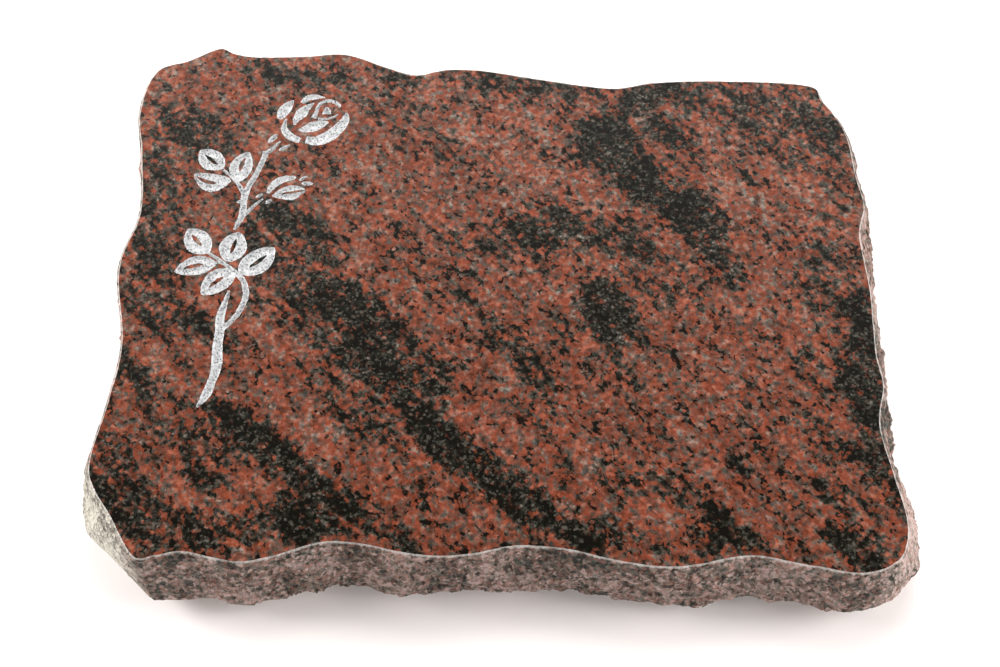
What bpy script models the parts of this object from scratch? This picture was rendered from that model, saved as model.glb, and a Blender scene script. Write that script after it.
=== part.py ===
"""Flat grave marker: one slab of red granite that lies on the ground.

Its face is polished, its edges are pitched off with a chisel, and a rose spray is blasted into
the left of the face. The slab lies with its front towards -Y and its face up, in metres, with
the middle of its bed at the origin.
"""

import math

import bmesh
import bpy
from mathutils import Vector, geometry, noise

# Driving dimensions of the slab.
FACE_WIDTH = 0.390
FACE_DEPTH = 0.300
THICKNESS = 0.045
ARRIS = 0.0012  # bruised line under the polished edge, as wide as it is deep
BROW_HEIGHT = 0.014  # the pitched edge stands out furthest at this height above the bed
FOOT_INSET = 0.0050  # of the bed behind the polished edge

# How far the brow stands out past the face on each side.
FLARE_FRONT_LEFT = 0.0088
FLARE_FRONT_RIGHT = 0.0050
FLARE_RIGHT = 0.0088
FLARE_BACK = 0.0050
FLARE_LEFT = 0.0004

# Where a corner was knocked off, its break stands out further. Each has its place, in shares of
# the face's width and depth from the middle, how much further it stands out, and its spread.
CORNERS = (
    ((-0.490, -0.380), 0.0125, 0.030),
    ((0.490, -0.480), 0.0030, 0.025),
)

# The broken skin of the edge.
WAVE_REACH = 0.026  # waves of the polished outline shorter than this die out towards the bed
SCAR_SIZE = 0.024
SCAR_DEPTH = 0.0036
CHIP_SIZE = 0.010
CHIP_DEPTH = 0.0020
SCAR_RADIUS = 0.8  # of a scar from its hollow to its ridge, as a share of its size
MEAN_RISE = 0.4  # of the skin over the hollows of its scars, as a share of their depth
ROUGH_FROM = 0.5  # the skin is fully rough from this share of the way down to the brow
FACE_SLOPE = 0.8  # of the profile above the brow: 1 is straight, less is fuller
UNDERCUT_SLOPE = 1.7  # of the profile below the brow: 1 is straight, more is fuller

# Driving dimensions of the rose spray.
SPRAY_HEIGHT = 0.191
SPRAY_FROM_LEFT = 0.030  # from the widest point of the face to the outermost leaf
SPRAY_FROM_BACK = 0.030  # from the furthest point of the face to the flower
SPRAY_DEPTH = 0.0015

# How finely the curves are divided.
OUTLINE_STEPS = 4  # between two points of the face's outline
EDGE_ROWS = 8  # of faces down the pitched edge, under the arris
STROKE_STEPS = 2  # between two points of a stroke
LEAF_STEPS = 8  # along a leaf
SLIP_STEPS = 4  # along a sepal, a petal tip or a vein
MERGE_DISTANCE = 0.00001

GRANITE_COLOUR = (0.155, 0.075, 0.050, 1.0)
GRANITE_ROUGHNESS = 0.22

# The face's outline, clockwise from its back left corner, in hundredths of the face's width and
# depth from its middle. Each point is where a chisel blow starts, turns or ends.
FACE_OUTLINE = (
    (-48.4, 44.6), (-44.1, 47.2), (-40.2, 50.0), (-37.9, 48.9), (-34.4, 48.2), (-27.5, 48.6),
    (-22.2, 49.1), (-16.8, 46.5), (-12.3, 44.6), (-7.8, 45.9), (-3.1, 45.9), (4.2, 44.3),
    (11.6, 42.7), (16.4, 42.3), (21.8, 43.7), (31.0, 44.3), (42.7, 43.6), (44.7, 40.1),
    (47.4, 33.3), (48.2, 24.2), (48.9, 17.5), (47.9, 11.3), (48.5, 0.7), (48.4, -11.6),
    (48.9, -17.5), (47.9, -24.9), (49.2, -34.6), (50.0, -40.7), (49.7, -44.9), (48.2, -48.2),
    (44.0, -50.0), (37.3, -48.8), (30.8, -47.5), (24.3, -49.2), (19.6, -49.5), (14.4, -48.5),
    (8.9, -46.9), (2.9, -46.6), (-1.8, -47.9), (-6.3, -48.5), (-11.0, -47.9), (-15.4, -46.7),
    (-20.4, -46.6), (-26.4, -49.2), (-30.6, -50.0), (-36.6, -48.5), (-39.8, -49.2), (-42.5, -49.4),
    (-45.8, -43.0), (-49.3, -35.2), (-48.3, -23.6), (-47.6, -12.3), (-49.3, -0.3), (-49.3, 5.2),
    (-47.8, 13.9), (-48.8, 25.9), (-50.0, 35.9),
)

# The spray is drawn 191 units high, from the cut end of its stem up, and 83 units wide, from its
# outermost leaf. Each stroke is a row of points along its middle, with its breadth at each.
DRAWN_HEIGHT = 191.0
STROKES = {
    "lower stem": (
        (20.0, 0.0, 1.0), (24.0, 7.5, 4.8), (25.7, 14.0, 4.2), (27.0, 20.0, 4.8), (27.2, 26.5, 5.4),
        (26.6, 34.5, 4.9), (26.8, 42.0, 4.6), (26.3, 50.5, 4.4), (27.4, 57.5, 3.2), (29.2, 66.0, 1.2),
    ),
    "side stem": (
        (28.2, 44.0, 2.4), (31.5, 48.0, 2.6), (34.8, 53.0, 2.8), (36.9, 58.5, 3.0), (37.8, 63.5, 3.1),
        (37.2, 68.0, 3.0), (35.2, 72.8, 2.8), (31.8, 76.5, 2.6), (26.5, 81.0, 2.2),
    ),
    "stalk of the upper left leaf": ((27.0, 80.6, 2.0), (22.4, 84.2, 1.8), (15.6, 88.8, 1.5)),
    "stalk of the left leaf": ((27.2, 80.2, 2.0), (23.3, 82.6, 1.6), (19.0, 82.2, 1.6)),
    "upper stem": (
        (28.1, 102.5, 1.0), (29.6, 106.4, 2.8), (31.2, 111.7, 3.4), (31.4, 117.0, 3.4),
        (31.5, 124.0, 3.8), (33.4, 131.0, 3.0), (36.4, 138.3, 3.0), (38.4, 144.7, 2.9),
        (40.1, 151.0, 3.0), (43.5, 154.3, 2.0), (47.2, 159.4, 1.0),
    ),
    "branch": ((31.0, 125.0, 2.6), (26.8, 132.0, 2.2), (22.9, 136.3, 1.7), (17.5, 141.0, 1.5)),
    "bud stalk": ((32.0, 111.6, 2.4), (37.2, 118.0, 1.7), (41.2, 122.2, 0.9)),
    "bud, outer petal": (
        (43.6, 125.8, 1.6), (45.0, 129.4, 3.8), (47.4, 132.6, 4.2), (51.0, 134.8, 4.0),
        (55.2, 135.8, 2.9), (57.6, 136.0, 1.0),
    ),
    "bud, inner petals": (
        (45.8, 124.0, 0.8), (50.5, 125.4, 6.6), (55.6, 126.4, 9.2), (59.3, 127.4, 7.0),
        (62.6, 128.0, 2.4),
    ),
    "petal, left": ((49.0, 174.0, 0.8), (48.4, 167.9, 3.4), (51.7, 163.0, 4.4), (57.5, 159.8, 3.6)),
    "petal, right": (
        (60.7, 160.5, 4.2), (66.3, 160.0, 6.0), (72.2, 162.7, 7.2), (77.5, 167.9, 6.4),
        (80.8, 173.9, 4.6), (81.3, 178.9, 1.0),
    ),
    "petal, upper left": (
        (45.6, 173.9, 2.5), (46.8, 178.4, 6.2), (49.4, 183.0, 5.4), (52.0, 186.6, 1.0),
    ),
    "petal, top": ((56.7, 184.9, 2.4), (59.4, 188.0, 3.7), (63.5, 189.2, 3.3), (69.2, 188.8, 0.6)),
    "petal, inner left": (
        (53.9, 170.2, 1.0), (54.5, 173.8, 3.8), (57.0, 178.0, 6.2), (59.3, 181.4, 4.4),
        (63.3, 185.0, 0.8),
    ),
    "petal, inner right": (
        (56.4, 166.8, 0.9), (60.1, 167.6, 4.7), (64.5, 169.5, 6.5), (68.6, 171.3, 4.8),
        (71.9, 172.4, 0.9),
    ),
    "heart, outer curl": (
        (63.8, 175.0, 3.0), (65.0, 179.3, 2.2), (65.9, 183.1, 2.0), (68.2, 186.0, 2.0),
        (72.0, 186.6, 2.2), (75.8, 184.8, 2.2), (77.8, 182.6, 1.3),
    ),
    "heart, lower curl": (
        (66.2, 174.4, 1.4), (71.0, 174.6, 1.4), (75.0, 176.0, 1.4), (77.0, 177.8, 0.7),
    ),
    "heart": ((70.2, 182.4, 1.4), (70.6, 179.9, 3.9), (70.7, 177.7, 4.8)),
}

# Each leaf runs from its base to its tip, with its breadth, how far its middle bows to the left
# of the straight line, and the shares of its length between which its vein is left standing.
LEAVES = {
    "upper left": ((18.5, 141.2), (4.7, 152.8), 12.6, 0.5, 0.20, 0.76),
    "upper lower": ((23.4, 133.2), (3.3, 137.0), 11.4, 3.2, 0.34, 0.92),
    "upper right": ((26.9, 132.6), (30.9, 152.2), 12.0, 1.2, 0.33, 0.80),
    "lower upper left": ((16.3, 88.3), (3.8, 102.8), 13.6, 0.4, 0.30, 0.78),
    "lower top": ((26.6, 83.0), (30.6, 101.6), 14.2, 0.0, 0.28, 0.78),
    "lower right": ((32.9, 76.4), (50.0, 92.2), 14.0, -0.9, 0.26, 0.76),
    "lower left": ((21.0, 82.3), (0.1, 76.8), 11.2, -1.1, 0.30, 0.80),
    "lower bottom": ((31.2, 78.4), (15.1, 63.6), 13.0, -1.0, 0.32, 0.76),
}
VEIN_BREADTH = 1.8

# Sepals, petal tips and thorns are short slips with a base, a tip and a breadth.
SLIPS = {
    "sepal, left": ((40.6, 158.0), (45.4, 164.0), 3.2),
    "sepal, right": ((46.8, 153.2), (52.6, 157.2), 2.4),
    "bud sepal, left": ((37.3, 122.8), (41.0, 125.4), 2.0),
    "bud sepal, right": ((42.8, 119.1), (45.9, 122.2), 2.3),
    "bud tip, upper": ((59.0, 134.0), (63.2, 137.1), 2.1),
    "bud tip, lower": ((60.6, 132.4), (66.9, 132.2), 2.7),
    "thorn on the stem": ((31.4, 121.0), (27.4, 119.6), 2.2),
    "thorn under the flower": ((41.0, 150.0), (38.2, 152.8), 2.4),
}
BUD_SEAM = ((49.6, 125.4), (64.2, 128.3), 1.4)

# The plan of a leaf: round towards its base, drawn out towards its tip.
BASE_ROUNDNESS = 0.72
TIP_ROUNDNESS = 0.80
LEAST_BREADTH = 0.3


def on_curve(points, position, closed):
    """A point on the smooth curve through these points, at a position counted in spans."""
    count = len(points)
    span = min(int(position), count - (1 if closed else 2))
    share = position - span
    if closed:
        corners = [points[(span + step) % count] for step in (-1, 0, 1, 2)]
    else:
        corners = [points[min(max(span + step, 0), count - 1)] for step in (-1, 0, 1, 2)]
    before, start, end, after = corners
    slope_in = (end - before) / 2
    slope_out = (after - start) / 2
    bend = (start - end) * 2 + slope_in + slope_out
    sweep = (end - start) * 3 - slope_in * 2 - slope_out
    return ((bend * share + sweep) * share + slope_in) * share + start


def face_outline():
    """The wavy outline of the polished face, clockwise."""
    corners = [Vector((x / 100 * FACE_WIDTH, y / 100 * FACE_DEPTH)) for x, y in FACE_OUTLINE]
    steps = len(corners) * OUTLINE_STEPS
    return [on_curve(corners, step / OUTLINE_STEPS, closed=True) for step in range(steps)]


def eased(outline):
    """The outline with its short waves evened out, by a bell-shaped mean along it."""
    count = len(outline)
    length = sum((outline[index] - outline[index - 1]).length for index in range(count))
    half_way_round = count // 2
    weights = {
        step: math.exp(-((step * length / count / WAVE_REACH) ** 2))
        for step in range(-half_way_round, half_way_round + 1)
    }
    total = sum(weights.values())
    return [
        sum(
            (outline[(index + step) % count] * weight for step, weight in weights.items()),
            Vector((0, 0)),
        ) / total
        for index in range(count)
    ]


def outward_normals(outline):
    """The way out at each point of a clockwise outline."""
    count = len(outline)
    normals = []
    for index in range(count):
        along = outline[(index + 1) % count] - outline[index - 1]
        normals.append(Vector((-along.y, along.x)).normalized())
    return normals


def flare_at(point, normal):
    """How far the brow stands out past the face here."""
    share = point.x / FACE_WIDTH + 0.5
    front = FLARE_FRONT_LEFT + (FLARE_FRONT_RIGHT - FLARE_FRONT_LEFT) * share
    side = FLARE_RIGHT if normal.x > 0 else FLARE_LEFT
    end = FLARE_BACK if normal.y > 0 else front
    flare = side * normal.x**2 + end * normal.y**2
    for place, extra, spread in CORNERS:
        corner = Vector((place[0] * FACE_WIDTH, place[1] * FACE_DEPTH))
        flare += extra * math.exp(-(((point - corner).length / spread) ** 2))
    return flare


def dished(spot, size):
    """Rises from 0 in the hollow of a scar of this size to 1 on the ridge between two scars."""
    distance_to_nearest = noise.voronoi(spot / size)[0][0]
    return min(distance_to_nearest / SCAR_RADIUS, 1.0) ** 2


def relief(point, height):
    """The broken skin of the pitched edge: shallow chisel scars with small chips on them."""
    spot = Vector((point.x, point.y, height))
    another_place = Vector((FACE_WIDTH, FACE_DEPTH, THICKNESS))
    scars = (dished(spot, SCAR_SIZE) - MEAN_RISE) * SCAR_DEPTH
    chips = (dished(spot + another_place, CHIP_SIZE) - MEAN_RISE) * CHIP_DEPTH
    return scars + chips


def edge_rings():
    """The rows of points from the polished edge down to the bed, each with its height."""
    outline = face_outline()
    foot_outline = eased(outline)
    normals = outward_normals(foot_outline)
    rough_height = THICKNESS - ARRIS
    brow_drop = rough_height - BROW_HEIGHT
    rings = [(THICKNESS, outline)]
    for row in range(EDGE_ROWS + 1):
        height = rough_height * (1 - row / EDGE_ROWS)
        above_brow = min((rough_height - height) / brow_drop, 1.0)
        below_brow = max((BROW_HEIGHT - height) / BROW_HEIGHT, 0.0)
        ring = []
        for polished, soft, normal in zip(outline, foot_outline, normals):
            flare = flare_at(polished, normal)
            out = ARRIS + flare * above_brow**FACE_SLOPE
            out -= (ARRIS + flare + FOOT_INSET) * below_brow**UNDERCUT_SLOPE
            out += relief(polished, height) * min(above_brow / ROUGH_FROM, 1.0)
            ring.append(polished.lerp(soft, above_brow) + normal * out)
        rings.append((height, ring))
    return rings


def stroke_plan(points):
    """The outline of a stroke, from the points and breadths along its middle."""
    middle = [Vector(point) for point in points]
    last = (len(middle) - 1) * STROKE_STEPS
    samples = [on_curve(middle, step / STROKE_STEPS, closed=False) for step in range(last + 1)]
    left, right = [], []
    for index, sample in enumerate(samples):
        ahead = samples[min(index + 1, last)]
        behind = samples[max(index - 1, 0)]
        across = Vector((behind.y - ahead.y, ahead.x - behind.x)).normalized()
        half = max(sample.z, LEAST_BREADTH) / 2
        left.append(sample.xy + across * half)
        right.append(sample.xy - across * half)
    return right + left[::-1]


def leaf_plan(base, tip, breadth, bow=0.0, start=0.0, end=1.0, steps=SLIP_STEPS):
    """The outline of a leaf, or of a narrower one within it between two shares of its length."""
    base, tip = Vector(base), Vector(tip)
    along = tip - base
    across = Vector((-along.y, along.x)).normalized()
    widest = BASE_ROUNDNESS / (BASE_ROUNDNESS + TIP_ROUNDNESS)
    fullest = widest**BASE_ROUNDNESS * (1 - widest) ** TIP_ROUNDNESS
    left, right = [], []
    for step in range(steps + 1):
        share = step / steps
        place = start + (end - start) * share
        middle = base + along * place + across * bow * 4 * place * (1 - place)
        half = breadth / 2 * share**BASE_ROUNDNESS * (1 - share) ** TIP_ROUNDNESS / fullest
        left.append(middle + across * half)
        right.append(middle - across * half)
    return right + left[-2:0:-1]


def spray_plans():
    """The outlines that are sunk, and those inside them that stay polished, in drawn units."""
    sunk = [stroke_plan(points) for points in STROKES.values()]
    sunk += [leaf_plan(base, tip, breadth) for base, tip, breadth in SLIPS.values()]
    kept = [leaf_plan(*BUD_SEAM)]
    for base, tip, breadth, bow, vein_start, vein_end in LEAVES.values():
        sunk.append(leaf_plan(base, tip, breadth, bow, steps=LEAF_STEPS))
        kept.append(leaf_plan(base, tip, VEIN_BREADTH, bow, vein_start, vein_end))
    return sunk, kept


def placed_on_face(plan, outline):
    """A drawn outline at its real size and in its place on the face."""
    unit = SPRAY_HEIGHT / DRAWN_HEIGHT
    left = min(point.x for point in outline) + SPRAY_FROM_LEFT
    front = max(point.y for point in outline) - SPRAY_FROM_BACK - SPRAY_HEIGHT
    return [Vector((left, front)) + point * unit for point in plan]


def add_face(bm, rim):
    """Fills the rim with the polished face and sinks the spray into it."""
    outline = [vertex.co.xy for vertex in reversed(rim)]
    sunk, kept = [[placed_on_face(plan, outline) for plan in plans] for plans in spray_plans()]
    points, loops = [], []
    for ring in [outline] + sunk + kept:
        loops.append(list(range(len(points), len(points) + len(ring))))
        points.extend(ring)
    filled_inside = 1
    spots, _, triangles, sources, _, owners = geometry.delaunay_2d_cdt(
        points, [], loops, filled_inside, MERGE_DISTANCE
    )
    vertices = []
    for spot, origins in zip(spots, sources):
        on_rim = [origin for origin in origins if origin < len(rim)]
        if on_rim:
            vertices.append(rim[len(rim) - 1 - on_rim[0]])
        else:
            vertices.append(bm.verts.new((spot.x, spot.y, THICKNESS)))
    first_sunk = 1
    first_kept = first_sunk + len(sunk)
    floor = []
    for triangle, loops_around in zip(triangles, owners):
        face = bm.faces.new([vertices[corner] for corner in triangle])
        in_sunk = any(first_sunk <= loop < first_kept for loop in loops_around)
        in_kept = any(loop >= first_kept for loop in loops_around)
        if in_sunk and not in_kept:
            floor.append(face)
    lowered = bmesh.ops.extrude_face_region(bm, geom=floor)["geom"]
    bmesh.ops.delete(bm, geom=floor, context="FACES")
    corners = [item for item in lowered if isinstance(item, bmesh.types.BMVert)]
    bmesh.ops.translate(bm, verts=corners, vec=(0, 0, -SPRAY_DEPTH))


def slab_mesh():
    """The whole slab as one closed mesh."""
    bm = bmesh.new()
    rows = [
        [bm.verts.new((point.x, point.y, height)) for point in ring]
        for height, ring in edge_rings()
    ]
    for upper, lower in zip(rows, rows[1:]):
        for index in range(len(upper)):
            before = index - 1
            bm.faces.new((upper[before], upper[index], lower[index], lower[before]))
    bm.faces.new(rows[-1])
    add_face(bm, rows[0])
    bmesh.ops.recalc_face_normals(bm, faces=bm.faces)
    middle = [
        (min(vertex.co[axis] for vertex in bm.verts) + max(vertex.co[axis] for vertex in bm.verts)) / 2
        for axis in (0, 1)
    ]
    bmesh.ops.translate(bm, verts=bm.verts, vec=(-middle[0], -middle[1], 0))
    mesh = bpy.data.meshes.new("slab")
    bm.to_mesh(mesh)
    bm.free()
    return mesh


def granite():
    """Red granite, as one plain finish."""
    material = bpy.data.materials.new("granite")
    material.use_nodes = True
    shader = material.node_tree.nodes["Principled BSDF"]
    shader.inputs["Base Color"].default_value = GRANITE_COLOUR
    shader.inputs["Roughness"].default_value = GRANITE_ROUGHNESS
    shader.inputs["Metallic"].default_value = 0.0
    return material


def main():
    for leftover in list(bpy.data.objects):
        bpy.data.objects.remove(leftover)
    collection = bpy.data.collections.new("flat_grave_marker")
    bpy.context.scene.collection.children.link(collection)
    slab = bpy.data.objects.new("slab", slab_mesh())
    slab.data.materials.append(granite())
    collection.objects.link(slab)


main()
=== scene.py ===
"""Flat grave marker of red and black granite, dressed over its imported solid.

The stone is one closed mesh with a polished face, a broken edge, a sawn bed and a blasted rose.
It lies with its front towards -Y and its face up, in metres, with its bed on the floor.
"""

import math

import bmesh
import bpy
import numpy as np
from mathutils import Euler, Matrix, Vector, geometry, kdtree, noise


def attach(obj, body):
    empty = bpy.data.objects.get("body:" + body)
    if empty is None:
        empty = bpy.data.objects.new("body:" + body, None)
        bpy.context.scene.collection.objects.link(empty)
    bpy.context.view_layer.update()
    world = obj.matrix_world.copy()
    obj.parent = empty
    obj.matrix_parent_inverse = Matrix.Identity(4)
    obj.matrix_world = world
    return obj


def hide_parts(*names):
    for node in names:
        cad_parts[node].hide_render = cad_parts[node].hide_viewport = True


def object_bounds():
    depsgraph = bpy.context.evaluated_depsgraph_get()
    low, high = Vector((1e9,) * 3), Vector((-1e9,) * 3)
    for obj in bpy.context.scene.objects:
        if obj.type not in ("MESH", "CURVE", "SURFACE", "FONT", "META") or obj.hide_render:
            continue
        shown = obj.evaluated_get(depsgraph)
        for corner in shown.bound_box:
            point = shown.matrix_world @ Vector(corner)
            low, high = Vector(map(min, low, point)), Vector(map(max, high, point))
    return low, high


bl_info = {
    "name": "Flat grave marker",
    "version": (1, 0, 0),
    "blender": (4, 5, 0),
    "location": "3D View > Sidebar > Grave marker",
    "description": "Builds a flat granite grave marker with a blasted rose, and the stage it lies on",
    "category": "Object",
}

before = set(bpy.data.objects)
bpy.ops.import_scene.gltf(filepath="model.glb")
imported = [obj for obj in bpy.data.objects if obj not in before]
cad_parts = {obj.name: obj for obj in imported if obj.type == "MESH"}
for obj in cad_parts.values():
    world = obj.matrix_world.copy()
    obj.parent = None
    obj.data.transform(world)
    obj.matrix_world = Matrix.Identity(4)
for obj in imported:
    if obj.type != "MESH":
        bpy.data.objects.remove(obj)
SOLID_LOW, SOLID_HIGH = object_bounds()
LEVEL = 0.0001  # what lies no further apart in height than this is level
SOLID_FACE = [v.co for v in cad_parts["slab"].data.vertices if v.co.z > SOLID_HIGH.z - LEVEL]
FACE_LOW = Vector([min(point[axis] for point in SOLID_FACE) for axis in (0, 1)])
FACE_HIGH = Vector([max(point[axis] for point in SOLID_FACE) for axis in (0, 1)])
FACE_MIDDLE = (FACE_LOW + FACE_HIGH) / 2

# The face's outline, clockwise from its back left corner, in hundredths of the face's width and
# depth from its middle. Each point is where a chisel blow starts, turns or ends.
FACE_OUTLINE = (
    (-48.4, 44.6), (-44.1, 47.2), (-40.2, 50.0), (-37.9, 48.9), (-34.4, 48.2), (-27.5, 48.6),
    (-22.2, 49.1), (-16.8, 46.5), (-12.3, 44.6), (-7.8, 45.9), (-3.1, 45.9), (4.2, 44.3),
    (11.6, 42.7), (16.4, 42.3), (21.8, 43.7), (31.0, 44.3), (42.7, 43.6), (44.7, 40.1),
    (47.4, 33.3), (48.2, 24.2), (48.9, 17.5), (47.9, 11.3), (48.5, 0.7), (48.4, -11.6),
    (48.9, -17.5), (47.9, -24.9), (49.2, -34.6), (50.0, -40.7), (49.7, -44.9), (48.2, -48.2),
    (44.0, -50.0), (37.3, -48.8), (30.8, -47.5), (24.3, -49.2), (19.6, -49.5), (14.4, -48.5),
    (8.9, -46.9), (2.9, -46.6), (-1.8, -47.9), (-6.3, -48.5), (-11.0, -47.9), (-15.4, -46.7),
    (-20.4, -46.6), (-26.4, -49.2), (-30.6, -50.0), (-36.6, -48.5), (-39.8, -49.2), (-42.5, -49.4),
    (-45.8, -43.0), (-49.3, -35.2), (-48.3, -23.6), (-47.6, -12.3), (-49.3, -0.3), (-49.3, 5.2),
    (-47.8, 13.9), (-48.8, 25.9), (-50.0, 35.9),
)

# The spray is drawn 191 units high, from the cut end of its stem up, and 83 units wide, from its
# outermost leaf. Each stroke is a row of points along its middle, with its breadth at each.
DRAWN_HEIGHT = 191.0
STROKES = {
    "lower stem": (
        (20.0, 0.0, 1.0), (24.0, 7.5, 4.8), (25.7, 14.0, 4.2), (27.0, 20.0, 4.8), (27.2, 26.5, 5.4),
        (26.6, 34.5, 4.9), (26.8, 42.0, 4.6), (26.3, 50.5, 4.4), (27.4, 57.5, 3.2), (29.2, 66.0, 1.2),
    ),
    "side stem": (
        (28.2, 44.0, 2.4), (31.5, 48.0, 2.6), (34.8, 53.0, 2.8), (36.9, 58.5, 3.0), (37.8, 63.5, 3.1),
        (37.2, 68.0, 3.0), (35.2, 72.8, 2.8), (31.8, 76.5, 2.6), (26.5, 81.0, 2.2),
    ),
    "stalk of the upper left leaf": ((27.0, 80.6, 2.0), (22.4, 84.2, 1.8), (15.6, 88.8, 1.5)),
    "stalk of the left leaf": ((27.2, 80.2, 2.0), (23.3, 82.6, 1.6), (19.0, 82.2, 1.6)),
    "upper stem": (
        (28.1, 102.5, 1.0), (29.6, 106.4, 2.8), (31.2, 111.7, 3.4), (31.4, 117.0, 3.4),
        (31.5, 124.0, 3.8), (33.4, 131.0, 3.0), (36.4, 138.3, 3.0), (38.4, 144.7, 2.9),
        (40.1, 151.0, 3.0), (43.5, 154.3, 2.0), (47.2, 159.4, 1.0),
    ),
    "branch": ((31.0, 125.0, 2.6), (26.8, 132.0, 2.2), (22.9, 136.3, 1.7), (17.5, 141.0, 1.5)),
    "bud stalk": ((32.0, 111.6, 2.4), (37.2, 118.0, 1.7), (41.2, 122.2, 0.9)),
    "bud, outer petal": (
        (43.6, 125.8, 1.6), (45.0, 129.4, 3.8), (47.4, 132.6, 4.2), (51.0, 134.8, 4.0),
        (55.2, 135.8, 2.9), (57.6, 136.0, 1.0),
    ),
    "bud, inner petals": (
        (45.8, 124.0, 0.8), (50.5, 125.4, 6.6), (55.6, 126.4, 9.2), (59.3, 127.4, 7.0),
        (62.6, 128.0, 2.4),
    ),
    "petal, left": ((49.0, 174.0, 0.8), (48.4, 167.9, 3.4), (51.7, 163.0, 4.4), (57.5, 159.8, 3.6)),
    "petal, right": (
        (60.7, 160.5, 4.2), (66.3, 160.0, 6.0), (72.2, 162.7, 7.2), (77.5, 167.9, 6.4),
        (80.8, 173.9, 4.6), (81.3, 178.9, 1.0),
    ),
    "petal, upper left": (
        (45.6, 173.9, 2.5), (46.8, 178.4, 6.2), (49.4, 183.0, 5.4), (52.0, 186.6, 1.0),
    ),
    "petal, top": ((56.7, 184.9, 2.4), (59.4, 188.0, 3.7), (63.5, 189.2, 3.3), (69.2, 188.8, 0.6)),
    "petal, inner left": (
        (53.9, 170.2, 1.0), (54.5, 173.8, 3.8), (57.0, 178.0, 6.2), (59.3, 181.4, 4.4),
        (63.3, 185.0, 0.8),
    ),
    "petal, inner right": (
        (56.4, 166.8, 0.9), (60.1, 167.6, 4.7), (64.5, 169.5, 6.5), (68.6, 171.3, 4.8),
        (71.9, 172.4, 0.9),
    ),
    "heart, outer curl": (
        (63.8, 175.0, 3.0), (65.0, 179.3, 2.2), (65.9, 183.1, 2.0), (68.2, 186.0, 2.0),
        (72.0, 186.6, 2.2), (75.8, 184.8, 2.2), (77.8, 182.6, 1.3),
    ),
    "heart, lower curl": (
        (66.2, 174.4, 1.4), (71.0, 174.6, 1.4), (75.0, 176.0, 1.4), (77.0, 177.8, 0.7),
    ),
    "heart": ((70.2, 182.4, 1.4), (70.6, 179.9, 3.9), (70.7, 177.7, 4.8)),
}

# Each leaf runs from its base to its tip, with its breadth, how far its middle bows to the left
# of the straight line, and the shares of its length between which its vein is left standing.
LEAVES = {
    "upper left": ((18.5, 141.2), (4.7, 152.8), 12.6, 0.5, 0.20, 0.76),
    "upper lower": ((23.4, 133.2), (3.3, 137.0), 11.4, 3.2, 0.34, 0.92),
    "upper right": ((26.9, 132.6), (30.9, 152.2), 12.0, 1.2, 0.33, 0.80),
    "lower upper left": ((16.3, 88.3), (3.8, 102.8), 13.6, 0.4, 0.30, 0.78),
    "lower top": ((26.6, 83.0), (30.6, 101.6), 14.2, 0.0, 0.28, 0.78),
    "lower right": ((32.9, 76.4), (50.0, 92.2), 14.0, -0.9, 0.26, 0.76),
    "lower left": ((21.0, 82.3), (0.1, 76.8), 11.2, -1.1, 0.30, 0.80),
    "lower bottom": ((31.2, 78.4), (15.1, 63.6), 13.0, -1.0, 0.32, 0.76),
}
VEIN_BREADTH = 2.3

# Sepals, petal tips and thorns are short slips with a base, a tip and a breadth.
SLIPS = {
    "sepal, left": ((40.6, 158.0), (45.4, 164.0), 3.2),
    "sepal, right": ((46.8, 153.2), (52.6, 157.2), 2.4),
    "bud sepal, left": ((37.3, 122.8), (41.0, 125.4), 2.0),
    "bud sepal, right": ((42.8, 119.1), (45.9, 122.2), 2.3),
    "bud tip, upper": ((59.0, 134.0), (63.2, 137.1), 2.1),
    "bud tip, lower": ((60.6, 132.4), (66.9, 132.2), 2.7),
    "thorn on the stem": ((31.4, 121.0), (27.4, 119.6), 2.2),
    "thorn under the flower": ((41.0, 150.0), (38.2, 152.8), 2.4),
}
BUD_SEAM = ((49.6, 125.4), (64.2, 128.3), 1.4)

# The plan of a leaf: round towards its base, drawn out towards its tip.
BASE_ROUNDNESS = 0.72
TIP_ROUNDNESS = 0.80
LEAST_BREADTH = 0.3

# Where a corner was knocked off, its break stands out further. Each has its place, in shares of
# the face's width and depth from the middle, how much further it stands out, and its spread.
CORNERS = (
    ((-0.490, -0.380), 0.0125, 0.030),
    ((0.490, -0.480), 0.0030, 0.025),
)
# Where two blows of the chisel met in a ridge down the broken edge. Each has its place at the
# polished edge, in the same shares, and in metres: how far it stands out, how far it reaches to
# each side, and how far it slants along the edge on its way down to the brow.
RIDGES = (
    ((0.455, -0.495), 0.0030, 0.018, 0.004), ((0.375, -0.488), 0.0014, 0.014, -0.010),
    ((-0.300, -0.500), 0.0010, 0.016, 0.006), ((-0.110, -0.479), 0.0010, 0.014, -0.005),
    ((0.089, -0.469), 0.0010, 0.015, 0.006), ((0.492, -0.346), 0.0018, 0.016, 0.008),
    ((0.484, -0.116), 0.0016, 0.018, -0.006),
)
# The front left corner was struck off in flat planes, which all meet in its point at the polished
# edge. They are given by the ways they face, and hold for this far along the edge to each side.
STRUCK_CORNER = (-0.425, -0.494)
STRUCK_PLANES = ((-0.717, -0.463, 0.523), (-0.668, -0.737, 0.106), (0.050, -0.950, 0.300))
STRUCK_REACH = 0.046
STRUCK_FADE = 2.5  # of the planes at their ends: 1 is over the whole reach, more is shorter
STRUCK_CALM = 0.75  # how much of the rough skin the planes have lost
STRUCK_FACING = 0.1  # a plane that faces less of the way out than this doesn't cut there
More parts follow.
